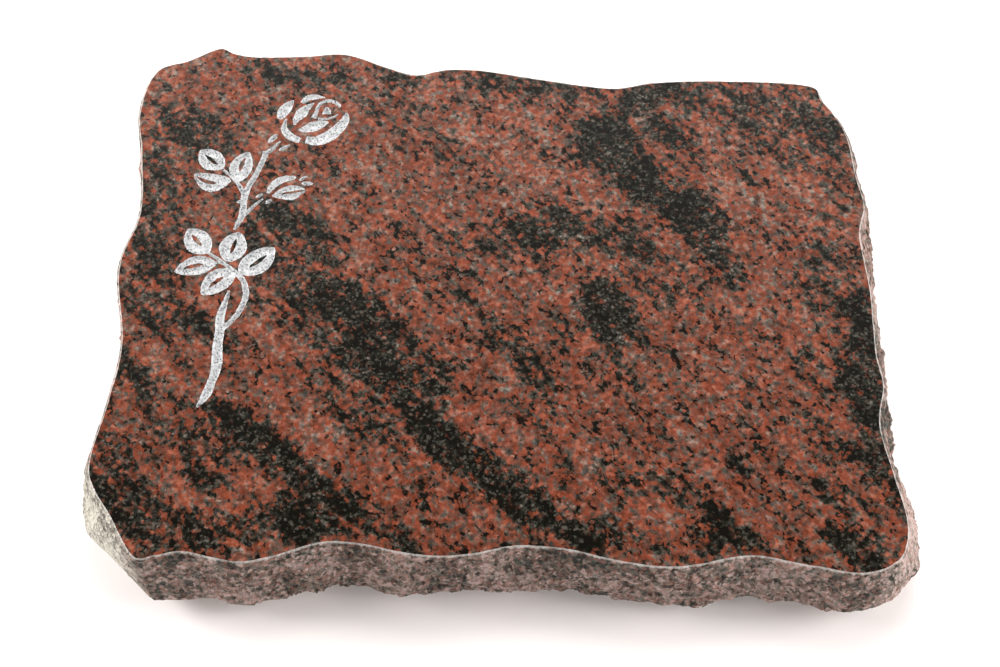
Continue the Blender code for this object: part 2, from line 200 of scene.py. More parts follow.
# Ledges split off the front of the edge. Each runs between two points, given by how far they are
# from the middle of the slab's length and how high, with how deep and how high the ledge is.
LEDGES = (
    ((0.096, 0.017), (0.134, 0.031), 0.0026, 0.0030), ((0.036, 0.036), (0.050, 0.029), 0.0018, 0.0022),
    ((-0.064, 0.030), (-0.040, 0.024), 0.0014, 0.0024), ((-0.148, 0.022), (-0.120, 0.016), 0.0016, 0.0024),
    ((0.002, 0.018), (0.026, 0.013), 0.0014, 0.0026), ((0.140, 0.026), (0.158, 0.013), 0.0016, 0.0024),
)
SCAR_RADIUS = 0.8  # of a scar from its hollow to its ridge, as a share of its size
MEAN_RISE = 0.4  # of the skin over the hollows of its scars, as a share of their depth
ROUGH_FROM = 0.5  # the chisel scars are at their deepest from this share of the way to the brow
SLANT_RISE = 3  # of a small plane across one of its kind, which brings it to about 1
FLAKED_AT_ARRIS = 0.15 # how much of the flakes' depth there is under the arris
FLAKED_WITHIN = 0.2  # the share of the way to the brow that adds a whole depth of flakes to that
SMALL_NICKS = 0.6  # depth of the smallest nicks in the polished edge, as a share of the larger ones
ARRIS_GRAIN = 0.12  # how far grains stand out of the arris, as a share of its breadth
FACE_SLOPE = 0.8  # of the profile above the brow: 1 is straight, less is fuller
UNDERCUT_SLOPE = 1.7  # of the profile below the brow: 1 is straight, more is fuller

# How finely the curves are divided.
OUTLINE_STEPS = 24  # between two points of the face's outline
SOLID_OUTLINE_STEPS = 4  # the same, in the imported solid
SKIN_ROWS = 44  # of faces down the broken edge, under the arris
ARRIS_ROWS = 3
STROKE_STEPS = 8  # between two points of a stroke
LEAF_STEPS = 26
SLIP_STEPS = 10
MERGE_DISTANCE = 0.00001
FRAY_SEED = 7  # of the noise vectors, which would change from run to run without it

# How the points of the blasted floor are laid, in shares of the distance between two of them.
ROW_PITCH = 0.866
RIM_PITCH = 0.25
RIM_CLEARANCE = 0.5
CLOSEST = 0.6

# Faces of the stone, by how the mason left them. Each is a material slot of the mesh.
POLISHED, BROKEN, SAWN, TONED = range(4)

# Where each part of the stone goes on the square map that its finish is to be baked to, in texels.
MAP_SIZE = 1024.0
MAP_GAP = 5.0
FACE_TEXELS = 2300.0  # to the metre of the polished face
EDGE_TEXELS = 1440.0
BED_TEXELS = 350.0
BED_ROOM = 1.1  # for the bed, as a share of the polished face's size

# Lenses of dark mineral in the red, drawn out along the flow of the rock. Each has its middle,
# half its length and half its breadth, in millimetres from the middle of the face, its turn in
# degrees from the length of the slab, and how much of it is dark.
DARK_LENSES = (
    (76, 121, 18, 10, 30, 1.00), (92, 128, 18, 7, 0, 0.80), (58, 91, 20, 14, -60, 1.10),
    (73, 69, 22, 12, -52, 1.05), (100, 47, 26, 11, -50, 1.00), (115, 26, 20, 8, -65, 0.85),
    (90, 98, 22, 9, -20, 0.55), (120, 118, 40, 13, -20, 0.62), (152, 102, 38, 20, -40, 0.50),
    (174, 106, 26, 10, -70, 0.74), (50, 125, 24, 6, 0, 0.55), (-20, 28, 14, 8, -60, 0.55),
    (2, 29, 22, 9, 0, 0.55), (28, 35, 24, 13, 0, 0.76), (54, 32, 20, 10, -20, 0.68),
    (76, 22, 20, 8, -30, 0.52), (84, -2, 20, 9, -20, 0.50), (56, -15, 20, 13, -66, 1.05),
    (62, -40, 16, 6, -60, 0.50), (-114, 40, 18, 10, -30, 0.90), (-100, 28, 26, 9, -56, 0.80),
    (-112, 4, 32, 14, -50, 0.60), (-82, -10, 26, 10, -50, 0.80), (-66, -18, 26, 13, -45, 0.95),
    (-88, -32, 22, 8, -50, 0.62), (-62, -42, 22, 14, -40, 1.00), (-40, -52, 26, 10, -42, 0.80),
    (-36, -36, 18, 6, -40, 0.60), (-36, -74, 24, 12, -60, 1.00), (-18, -88, 22, 9, -52, 0.90),
    (0, -104, 20, 9, -50, 0.85), (20, -122, 22, 11, -45, 0.95), (38, -134, 18, 7, -30, 0.80),
    (-60, -76, 34, 10, -44, 0.50), (-4, -20, 28, 5, -50, 0.72), (18, -48, 26, 5, -55, 0.60),
    (28, -88, 22, 6, -60, 0.46), (-126, -76, 22, 6, -25, 0.76), (-110, -92, 26, 10, -35, 1.05),
    (-88, -108, 28, 8, -42, 1.10), (-66, -122, 20, 5, -42, 0.76), (-50, -136, 20, 5, -30, 0.56),
    (-90, -128, 18, 10, -10, 1.15), (-150, -88, 26, 7, -40, 0.56), (-136, -110, 16, 7, -20, 0.70),
    (-170, -122, 32, 15, -40, 0.74), (-138, -133, 34, 10, -5, 0.74), (-184, -92, 14, 8, -50, 0.56),
    (-176, -54, 22, 7, -45, 0.80), (-158, -20, 24, 7, -40, 0.50), (-178, -16, 22, 8, -50, 0.60),
    (-178, 46, 60, 15, -88, 0.56), (-164, 92, 26, 14, -40, 0.70), (-112, 134, 34, 7, -10, 0.60),
    (-56, 134, 16, 6, -20, 0.64), (-72, 106, 6, 5, 0, 0.70), (-30, 78, 8, 6, -30, 0.56),
    (30, 129, 60, 8, -4, 0.56), (184, -20, 28, 9, -80, 1.05), (184, -58, 28, 11, -78, 1.05),
    (152, -36, 6, 5, 0, 0.80), (166, -8, 22, 9, -60, 0.50), (172, 14, 34, 12, -85, 0.48),
    (186, -96, 22, 7, -85, 0.76), (162, -82, 22, 8, -40, 0.56), (164, -110, 16, 6, -50, 0.50),
    (170, -138, 16, 9, -40, 0.95), (110, -135, 18, 7, -10, 0.80), (118, -98, 6, 4, -30, 1.15),
    (78, -110, 24, 8, -20, 0.38), (66, -135, 20, 6, -20, 0.56),
)
# Where the broken edge is palest, and its struck front left corner, given as the lenses are. Their
# paleness is partly the broken stone's own and partly painted light, where they face the side lights.
PALE_AND_LIT_BREAKS = (
    (198, -136, 34, 18, -70, 0.62), (196, -50, 70, 12, -86, 0.12), (-198, 20, 90, 12, -90, 0.14),
)
FRESH_AND_LIT_BREAK = (-192, -128, 38, 15, -56, 1.0)
LENS_CORE = 0.4  # of each lens, where it is at its full depth, as a share of its half sizes
LENS_EDGE = 1.7  # of each lens, where it ends, in the same shares
FRESH_EDGE = 1.35  # the same, of the struck corner's pale patch, which is partly painted light
FLOW_TURN = -48.0  # degrees, of the flow of the rock from the length of the slab
FLOW_STRETCH = 1.45  # of the grain along the flow
STREAK_STRETCH = 3.4  # of its streaks

# Sizes of what the finishes are made of, in metres. A sway is the size of the waves that bend it,
# and how far they reach.
DEEPENS_WITHIN = 0.16  # of the middle: the colour is made darker and redder from the back to the front
LENS_SWAY = (0.026, 0.014)
LENS_FRAY = (0.007, 0.010)
BREAK_SWAY = (0.012, 0.012)
CLUMP_SIZE = 0.022
PLANE_SIZE = 0.010
PLANE_SWAY = (0.006, 0.007)
POWDER_SIZE = 0.0035
GRIT_SIZE = 0.0018
GRIT_SWAY = (0.0015, 0.0010)
BREAK_BUMP = 0.0028
SAW_DUST = 0.004
SAW_BUMP = 0.0004
TONE_GRAIN = 0.00125
TONE_SWAY = (0.0012, 0.0006)
TONE_WEAR = 0.0022
TONE_BUMP = 0.0003

# The stage, in metres. Each soft light has its size and its place.
FLOOR_REACH = 4.0  # from the middle of the floor to its sides
LIGHTS = {
    "back_light": (0.9, (0.1, 0.8, 1.1)),
    "left_light": (0.7, (-1.5, 0.2, 0.7)),
    "right_light": (0.8, (1.45, -0.1, 0.7)),
}
SKY_UP_TO = 38.0  # degrees above the floor, where the room starts to darken
CEILING_FROM = 70.0  # degrees above the floor, where it is as dark as the ceiling
AIM = (-0.0018, -0.0254)  # of the camera, on the polished face
NEAREST_SEEN = 0.01


def length(name, description, default):
    """A property in metres."""
    return bpy.props.FloatProperty(
        name=name, description=description, default=default, unit="LENGTH", precision=4, step=0.1
    )


def colour(name, description, default):
    """A property that is a colour."""
    return bpy.props.FloatVectorProperty(
        name=name, description=description, default=default, subtype="COLOR", min=0.0, max=1.0
    )


def share(name, description, default, highest=1.0):
    """A property that is a share of something."""
    return bpy.props.FloatProperty(
        name=name, description=description, default=default, min=0.0, max=highest, subtype="FACTOR"
    )


def angle(name, description, degrees):
    """A property that is an angle."""
    return bpy.props.FloatProperty(
        name=name, description=description, default=math.radians(degrees), subtype="ANGLE"
    )


def power(name, description, default):
    """A property in watts."""
    return bpy.props.FloatProperty(name=name, description=description, default=default, unit="POWER")


class StoneSizes(bpy.types.PropertyGroup):
    """Sizes of the slab and of the skin of its broken edge."""

    face_width: length("Face width", "Length of the polished face, left to right", 0.390)
    face_depth: length("Face depth", "Breadth of the polished face, front to back", 0.300)
    thickness: length("Thickness", "From the bed to the polished face", SOLID_HIGH.z)
    arris: length("Arris", "Bruised line under the polished edge", 0.0012)
    brow_height: length("Brow height", "Of the furthest point of the edge above the bed", 0.014)
    foot_inset: length("Foot inset", "Of the bed behind the polished edge", 0.0050)
    flare_front_left: length("Flare, front left", "Of the brow past the face", 0.0088)
    flare_front_right: length("Flare, front right", "Of the brow past the face", 0.0050)
    flare_right: length("Flare, right", "Of the brow past the face", 0.0088)
    flare_back: length("Flare, back", "Of the brow past the face", 0.0050)
    flare_left: length("Flare, left", "Of the brow past the face", 0.0004)
    wave_reach: length("Wave reach", "Shorter waves of the outline die out downwards", 0.026)
    scar_size: length("Scar size", "Across one chisel scar", 0.024)
    scar_depth: length("Scar depth", "Of a chisel scar", 0.0036)
    chip_size: length("Chip size", "Across one chip on the scars", 0.010)
    chip_depth: length("Chip depth", "Of a chip on the scars", 0.0020)
    flake_size: length("Flake size", "Across one small plane of the break", 0.0068)
    flake_depth: length("Flake depth", "Of a small plane of the break", 0.0008)
    grain_size: length("Grain size", "Across one grain that stands out of the break", 0.0024)
    grain_depth: length("Grain depth", "Of a grain that stands out of the break", 0.0004)
    nick_depth: length("Nick depth", "Of the nicks in the polished edge", 0.0004)


class SpraySizes(bpy.types.PropertyGroup):
    """Sizes of the blasted rose."""

    height: length("Height", "Of the spray along the face", 0.191)
    from_left: length("From the left", "Of the outermost leaf, from the face's edge", 0.030)
    from_back: length("From the back", "Of the flower, from the face's edge", 0.030)
    depth: length("Depth", "Of the blasting", 0.0015)
    wall_run: length("Wall run", "How gently the blasting falls from its rim", 0.00032)
    mesh_size: length("Mesh size", "Between two points of the blasted floor", 0.00055)
    pit_size: length("Pit size", "Across one dent of the blasted floor", 0.0013)
    pit_depth: length("Pit depth", "Of a dent of the blasted floor", 0.00035)
    fray: length("Fray", "How unevenly the blast cut the rim", 0.00035)


class StoneLooks(bpy.types.PropertyGroup):
    """Colours and finish of the granite."""

    dark_feldspar: colour("Dark feldspar", "Shaded red grains", (0.010, 0.004, 0.003))
    brown_feldspar: colour("Brown feldspar", "Duller red grains", (0.088, 0.022, 0.010))
    feldspar: colour("Feldspar", "Most of the red", (0.190, 0.044, 0.022))
    pale_feldspar: colour("Pale feldspar", "Orange and pink grains", (0.310, 0.105, 0.062))
    mica: colour("Mica", "Black grains", (0.0045, 0.0038, 0.0025))
    hornblende: colour("Hornblende", "Green and grey grains", (0.019, 0.019, 0.014))
    quartz: colour("Quartz", "Grey grains", (0.080, 0.070, 0.057))
    pale_quartz: colour("Pale quartz", "Small pale specks", (0.23, 0.20, 0.165))
    crevice: colour("Crevice", "Darkest grains of the broken edge", (0.014, 0.012, 0.008))
    dark_bruise: colour("Dark bruise", "Dull dark grains of the broken edge", (0.098, 0.088, 0.068))
    bruise: colour("Bruise", "Most of the broken edge", (0.185, 0.148, 0.122))
    pale_bruise: colour("Pale bruise", "Pinkish grains of the broken edge", (0.300, 0.228, 0.192))
    red_bruise: colour("Red bruise", "Feldspar grains of the broken edge", (0.300, 0.140, 0.105))
    green_bruise: colour("Green bruise", "Hornblende grains of the broken edge", (0.095, 0.110, 0.088))
    powder: colour("Powder", "Crushed grains of the broken edge", (0.460, 0.340, 0.305))
    # Partly painted light: this pale colour of the struck corner also stands in for the left light falling
    # on it.
    fresh_break_and_light: colour("Fresh break", "Powdered stone of the struck corner", (0.48, 0.45, 0.38))
    arris: colour("Arris", "Crushed line under the polished edge", (0.54, 0.50, 0.47))
    tone: colour("Tone", "Silver paint in the rose", (0.64, 0.64, 0.64))
    # Painted shade and wear: this dark grey fills the dents of the blast as painted shade, and the worn
    # patches of the paint as wear.
    tone_shade_and_wear: colour("Tone in the pits", "Silver paint in the dents", (0.18, 0.18, 0.19))
    grain_size: length("Grain size", "Across one mineral grain", 0.0038)
    black_share: share("Black grains", "How much of the red is black grains", 0.355)
    polish: share("Roughness of the face", "Of the polish", 0.09)
    redness: share("Redness", "How much red there is outside the dark lenses", 0.60)
    lightness: share("Lightness", "Of the stone outside the dark lenses", 0.64)


class StageLooks(bpy.types.PropertyGroup):
    """The floor, the lights and the camera."""

    floor: colour("Floor", "Plain pale floor", (0.95, 0.89, 0.87))
    lens: bpy.props.FloatProperty(
        name="Lens", description="Focal length on a 36 mm sensor", default=57.3, subtype="DISTANCE_CAMERA"
    )
    elevation: angle("Elevation", "Of the camera above the floor", 61.0)
    turn: angle("Turn", "Of the camera to the right of the front", 1.1)
    distance: length("Distance", "Of the camera from the face", 0.795)
    sky: share("Sky", "Brightness of the room behind and beside the stone", 1.0, 10.0)
    ceiling: share("Ceiling", "Brightness of the room overhead", 0.02, 10.0)
    back_light: power("Back light", "Soft light above and behind", 11.0)
    left_light: power("Left light", "Soft light at the left", 30.0)
    right_light: power("Right light", "Soft light at the right", 22.0)


def on_curve(points, position, closed):
    """A point on the smooth curve through these points, at a position counted in spans."""
    count = len(points)
    span = min(int(position), count - (1 if closed else 2))
    part = position - span
    if closed:
        corners = [points[(span + step) % count] for step in (-1, 0, 1, 2)]
    else:
        corners = [points[min(max(span + step, 0), count - 1)] for step in (-1, 0, 1, 2)]
    before, start, end, after = corners
    slope_in = (end - before) / 2
    slope_out = (after - start) / 2
    bend = (start - end) * 2 + slope_in + slope_out
    sweep = (end - start) * 3 - slope_in * 2 - slope_out
    return ((bend * part + sweep) * part + slope_in) * part + start


def face_outline(sizes):
    """The wavy outline of the polished face, clockwise."""
    corners = [Vector((x / 100 * sizes.face_width, y / 100 * sizes.face_depth)) for x, y in FACE_OUTLINE]
    steps = len(corners) * OUTLINE_STEPS
    return [on_curve(corners, step / OUTLINE_STEPS, closed=True) for step in range(steps)]


def eased(outline, reach):
    """The outline with its short waves evened out, by a bell-shaped mean along it."""
    points = np.array(outline)
    count = len(points)
    spacing = np.linalg.norm(points - np.roll(points, 1, axis=0), axis=1).sum() / count
    mean = np.zeros_like(points)
    total = 0.0
    for step in range(-(count // 2), count // 2 + 1):
        weight = math.exp(-((step * spacing / reach) ** 2))
        mean += np.roll(points, -step, axis=0) * weight
        total += weight
    return [Vector(point) for point in mean / total]


def outward_normals(outline):
    """The way out at each point of a clockwise outline."""
    count = len(outline)
    normals = []
    for index in range(count):
        along = outline[(index + 1) % count] - outline[index - 1]
        normals.append(Vector((-along.y, along.x)).normalized())
    return normals


def flare_at(sizes, point, normal):
    """How far the brow stands out past the face here."""
    along = point.x / sizes.face_width + 0.5
    front = sizes.flare_front_left + (sizes.flare_front_right - sizes.flare_front_left) * along
    side = sizes.flare_right if normal.x > 0 else sizes.flare_left
    end = sizes.flare_back if normal.y > 0 else front
    flare = side * normal.x**2 + end * normal.y**2
    for place, extra, spread in CORNERS:
        corner = Vector((place[0] * sizes.face_width, place[1] * sizes.face_depth))
        flare += extra * math.exp(-(((point - corner).length / spread) ** 2))
    return flare


def dished(spot, size):
    """Rises from 0 in the hollow of a scar of this size to 1 on the ridge between two scars."""
    distance_to_nearest = noise.voronoi(spot / size)[0][0]
    return min(distance_to_nearest / SCAR_RADIUS, 1.0) ** 2


def slanted(spot, size):
    """A skin of small planes, each at its own slant, from about -1 to 1."""
    place = spot / size
    nearest = noise.voronoi(place)[1][0]
    slant = noise.cell_vector(nearest) - Vector((0.5, 0.5, 0.5))
    return (place - nearest).dot(slant) * SLANT_RISE


def scars_and_chips(sizes, spot):
    """The shallow chisel scars and the chips on them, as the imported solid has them."""
    another_place = Vector((sizes.face_width, sizes.face_depth, sizes.thickness))
    scars = (dished(spot, sizes.scar_size) - MEAN_RISE) * sizes.scar_depth
    chips = (dished(spot + another_place, sizes.chip_size) - MEAN_RISE) * sizes.chip_depth
    return scars + chips


def flakes_and_grains(sizes, spot):
    """The finer skin of the break: small planes, and grains that stand out of them."""
    flakes = slanted(spot, sizes.flake_size) * sizes.flake_depth
    grains = slanted(spot, sizes.grain_size) * sizes.grain_depth
    return flakes + grains


def running_length(outline):
    """How far along the closed outline each of its points is, and the whole way round last."""
    along = [0.0]
    for start, end in zip(outline, outline[1:] + outline[:1]):
        along.append(along[-1] + (end - start).length)
    return along


def nearest_on(outline, along, place, sizes):
    """The outline's point nearest to a place given in shares of the face, and how far along it is."""
    wanted = Vector((place[0] * sizes.face_width, place[1] * sizes.face_depth))
    nearest = min(range(len(outline)), key=lambda index: (outline[index] - wanted).length)
    return outline[nearest], along[nearest]


def struck_off(corner, base, normal):
    """How far out from the base, along the normal, the nearest of the corner's planes is."""
    out = STRUCK_REACH
    for facing in STRUCK_PLANES:
        facing = Vector(facing)
        steepness = facing.dot(normal)
        if steepness > STRUCK_FACING:
            out = min(out, (corner - base).dot(facing) / steepness)
    return max(out, 0.0)


def ridges_and_ledges(ridges, position, spot, normal, above_brow):
    """How far the edge stands out here for its ridges, less how far it is cut back for its ledges."""
    out = 0.0
    for start, height, reach, slant in ridges:
        away = abs(position - start - slant * above_brow) / reach
        out += height * max(1 - away, 0.0) * above_brow
    facing_front = max(-normal.y, 0.0)
    for (x, z), (end_x, end_z), depth, size in LEDGES:
        run = Vector((end_x - x, end_z - z))
        to_spot = Vector((spot.x - x, spot.z - z))
        part = min(max(to_spot.dot(run) / run.length_squared, 0.0), 1.0)
        across = (to_spot.y * run.x - to_spot.x * run.y) / run.length
        beyond = (to_spot - run * part).length
        if beyond < size and across < 0:
            out -= depth * (1 - beyond / size) * facing_front
    return out


def edge_rings(sizes):
    """The rows of points from the polished edge down to the bed, each with its height."""
    outline = face_outline(sizes)
    along = running_length(outline)
    ridges = [(nearest_on(outline, along, ridge[0], sizes)[1], *ridge[1:]) for ridge in RIDGES]
    corner, corner_start = nearest_on(outline, along, STRUCK_CORNER, sizes)
    corner = Vector((corner.x, corner.y, sizes.thickness - sizes.arris))
    foot_outline = eased(outline, sizes.wave_reach)
    normals = outward_normals(foot_outline)
    thickness = sizes.thickness
    rough_height = thickness - sizes.arris
    brow_drop = rough_height - sizes.brow_height
    flares = [flare_at(sizes, point, normal) for point, normal in zip(outline, normals)]
    nicks = []
    for point in outline:
        bite = noise.noise(point.to_3d() / sizes.grain_size)
        wander = noise.noise(point.to_3d() / sizes.chip_size)
        nicks.append((max(bite, 0.0) * SMALL_NICKS + max(wander, 0.0)) * sizes.nick_depth)
    rings = []
    for row in range(ARRIS_ROWS):
        drop = row / ARRIS_ROWS
        ring = []
        for polished, normal, nick in zip(outline, normals, nicks):
            spot = Vector((polished.x, polished.y, thickness - sizes.arris * drop))
            uneven = slanted(spot, sizes.grain_size) * sizes.arris * ARRIS_GRAIN * min(drop * 2, 1.0)
            ring.append(polished + normal * (sizes.arris * drop - nick * (1 - drop) + uneven))
        rings.append((thickness - sizes.arris * drop, ring))
    for row in range(SKIN_ROWS + 1):
        height = rough_height * (1 - row / SKIN_ROWS)
        above_brow = min((rough_height - height) / brow_drop, 1.0)
        below_brow = max((sizes.brow_height - height) / sizes.brow_height, 0.0)
        scarred = min(above_brow / ROUGH_FROM, 1.0)
        flaked = min(FLAKED_AT_ARRIS + above_brow / FLAKED_WITHIN, 1.0)
        ring = []
        for polished, soft, normal, flare, position in zip(outline, foot_outline, normals, flares, along):
            spot = Vector((polished.x, polished.y, height))
            base = polished.lerp(soft, above_brow)
            out = sizes.arris + flare * above_brow**FACE_SLOPE
            rough = scars_and_chips(sizes, spot) * scarred
            rough += ridges_and_ledges(ridges, position, spot, normal, above_brow)
            rough += flakes_and_grains(sizes, spot) * flaked
            away = abs(position - corner_start) / STRUCK_REACH
            if away < 1:
                level = max(height, sizes.brow_height)
                struck = struck_off(corner, Vector((base.x, base.y, level)), normal.to_3d())
                flat = min((1 - away) * STRUCK_FADE, 1.0)
                out += (struck + sizes.arris - out) * flat
                rough *= 1 - flat * STRUCK_CALM
            undercut = below_brow**UNDERCUT_SLOPE
            out += rough
            out -= (out + sizes.foot_inset) * undercut
            ring.append(base + normal * out)
        rings.append((height, ring))
    return rings


def stroke_plan(points):
    """The outline of a stroke, from the points and breadths along its middle."""
    middle = [Vector(point) for point in points]
    last = (len(middle) - 1) * STROKE_STEPS
    samples = [on_curve(middle, step / STROKE_STEPS, closed=False) for step in range(last + 1)]
    left, right = [], []
    for index, sample in enumerate(samples):
        ahead = samples[min(index + 1, last)]
        behind = samples[max(index - 1, 0)]
        across = Vector((behind.y - ahead.y, ahead.x - behind.x)).normalized()
        half = max(sample.z, LEAST_BREADTH) / 2
        left.append(sample.xy + across * half)
        right.append(sample.xy - across * half)
    return right + left[::-1]


def leaf_plan(base, tip, breadth, bow=0.0, start=0.0, end=1.0, steps=SLIP_STEPS):
    """The outline of a leaf, or of a narrower one within it between two shares of its length."""
    base, tip = Vector(base), Vector(tip)
    along = tip - base
    across = Vector((-along.y, along.x)).normalized()
    widest = BASE_ROUNDNESS / (BASE_ROUNDNESS + TIP_ROUNDNESS)
    fullest = widest**BASE_ROUNDNESS * (1 - widest) ** TIP_ROUNDNESS
    left, right = [], []
    for step in range(steps + 1):
        part = step / steps
        place = start + (end - start) * part
        middle = base + along * place + across * bow * 4 * place * (1 - place)
        half = breadth / 2 * part**BASE_ROUNDNESS * (1 - part) ** TIP_ROUNDNESS / fullest
        left.append(middle + across * half)
        right.append(middle - across * half)
    return right + left[-2:0:-1]


def spray_plans():
    """The outlines that are sunk, and those inside them that stay polished, in drawn units."""
    sunk = [stroke_plan(points) for points in STROKES.values()]
    sunk += [leaf_plan(base, tip, breadth) for base, tip, breadth in SLIPS.values()]
    kept = [leaf_plan(*BUD_SEAM)]
    for base, tip, breadth, bow, vein_start, vein_end in LEAVES.values():
        sunk.append(leaf_plan(base, tip, breadth, bow, steps=LEAF_STEPS))
        kept.append(leaf_plan(base, tip, VEIN_BREADTH, bow, vein_start, vein_end, LEAF_STEPS))
    return sunk, kept


def placed_on_face(plan, outline, spray):
    """A drawn outline at its real size and in its place on the face, its edge frayed by the blast."""
    unit = spray.height / DRAWN_HEIGHT
    left = min(point.x for point in outline) + spray.from_left
    front = max(point.y for point in outline) - spray.from_back - spray.height
    placed = [Vector((left, front)) + point * unit for point in plan]
    return [
        point + noise.noise_vector(point.to_3d() / spray.pit_size).xy * spray.fray for point in placed
    ]


def inside(points, ring):
    """Which of the points lie inside the ring, counting how often a line to them crosses it."""
    found = np.zeros(len(points), bool)
    ends = np.array(ring)
    for start, end in zip(np.roll(ends, 1, axis=0), ends):
        if start[1] == end[1]:
            continue
        level = (start[1] > points[:, 1]) != (end[1] > points[:, 1])
        crossing = start[0] + (points[:, 1] - start[1]) * (end[0] - start[0]) / (end[1] - start[1])
        found ^= level & (points[:, 0] < crossing)
    return found


def in_blasting(points, sunk, kept):
    """Which of the points lie in a sunk outline and in none that stays polished."""
    found = np.zeros(len(points), bool)
    for ring in sunk:
        found |= inside(points, ring)
    for ring in kept:
        found &= ~inside(points, ring)
    return found


def tree_of(points):
    """A tree that finds the nearest of these points."""
    tree = kdtree.KDTree(len(points))
    for index, point in enumerate(points):
        tree.insert((point[0], point[1], 0.0), index)
    tree.balance()
    return tree


def divided(start, end, step):
    """Points from start to end, no further apart than the step."""
    pieces = max(1, math.ceil((end - start).length / step))
    return [start.lerp(end, piece / pieces) for piece in range(pieces + 1)]


def blasted_points(sunk, kept, spray):
    """Points to lay across the blasted floor, so that it can be dished and dented."""
    step = spray.mesh_size
    rims = []
    for ring in sunk + kept:
        for start, end in zip(ring, ring[1:] + ring[:1]):
            rims += divided(start, end, step * RIM_PITCH)
    from_rim = tree_of(rims)
    spots = []
    for ring in sunk:
        low = np.min(np.array(ring), axis=0)
        high = np.max(np.array(ring), axis=0)
        rows = int((high[1] - low[1]) / (step * ROW_PITCH)) + 1
        columns = int((high[0] - low[0]) / step) + 2
        grid = np.array([
            (low[0] + (column + (row % 2) / 2) * step, low[1] + row * step * ROW_PITCH)
            for row in range(rows) for column in range(columns)
        ])
        spots += list(grid[inside(grid, ring)])
    spots = np.array(spots)
    thinned = []
    taken = {}
    for spot in map(Vector, spots[in_blasting(spots, sunk, kept)]):
        cell = (round(spot.x / step), round(spot.y / step))
        near = [taken.get((cell[0] + i, cell[1] + j)) for i in (-1, 0, 1) for j in (-1, 0, 1)]
        crowded = any(other is not None and (other - spot).length <= step * CLOSEST for other in near)
        if not crowded and from_rim.find(spot.to_3d())[2] > step * RIM_CLEARANCE:
            taken[cell] = spot
            thinned.append(spot)
    return thinned


def add_face(bm, rim, sizes, spray):
    """Fills the rim with the polished face and blasts the spray into it. Gives the new faces."""
    outline = [vertex.co.xy for vertex in reversed(rim)]
    solid_outline = outline[::-1][::OUTLINE_STEPS // SOLID_OUTLINE_STEPS]
    plans = spray_plans()
    sunk, kept = [[placed_on_face(plan, solid_outline, spray) for plan in group] for group in plans]
    points, loops = [], []
    for ring in [outline] + sunk + kept:
        loops.append(list(range(len(points), len(points) + len(ring))))
        points.extend(ring)
    points.extend(blasted_points(sunk, kept, spray))
    filled_inside = 1
    spots, _, triangles, sources, _, owners = geometry.delaunay_2d_cdt(
        points, [], loops, filled_inside, MERGE_DISTANCE
    )
    vertices = []
    for spot, origins in zip(spots, sources):
        on_rim = [origin for origin in origins if origin < len(rim)]
        if on_rim:
            vertices.append(rim[len(rim) - 1 - on_rim[0]])
        else:
            vertices.append(bm.verts.new((spot.x, spot.y, sizes.thickness)))
    first_sunk = 1
    first_kept = first_sunk + len(sunk)
    floor, polished = [], []
    for triangle, loops_around in zip(triangles, owners):
        face = bm.faces.new([vertices[corner] for corner in triangle])
        in_sunk = any(first_sunk <= loop < first_kept for loop in loops_around)
        in_kept = any(loop >= first_kept for loop in loops_around)
        blasted = in_sunk and not in_kept
        face.material_index = TONED if blasted else POLISHED
        face.smooth = blasted
        (floor if blasted else polished).append(face)
    floor_vertices = {vertex for face in floor for vertex in face.verts}
    rims = {vertex for face in polished for vertex in face.verts} & floor_vertices
    rim_points = []
    for face in floor:
        for edge in face.edges:
            if any(other.material_index == POLISHED for other in edge.link_faces):
                edge.smooth = False
                start, end = edge.verts
                rim_points += divided(start.co, end.co, spray.mesh_size * RIM_PITCH)
    from_rim = tree_of(rim_points)
    for vertex in floor_vertices - rims:
        flat = Vector((vertex.co.x, vertex.co.y, 0.0))
        distance = from_rim.find(flat)[2]
        fall = 1 - math.exp(-distance / spray.wall_run)
        dents = dished(flat, spray.pit_size) - MEAN_RISE
        vertex.co.z -= (spray.depth - dents * spray.pit_depth) * fall
    return floor + polished


def lay_flat(face, map_layer, base, half_size, texels):
    """Lays a level face on the map, above this base. The slab's middle is half a size from its sides."""
    for loop in face.loops:
        place = loop.vert.co.xy + half_size
        loop[map_layer].uv = (Vector((MAP_GAP, base)) + place * texels) / MAP_SIZE


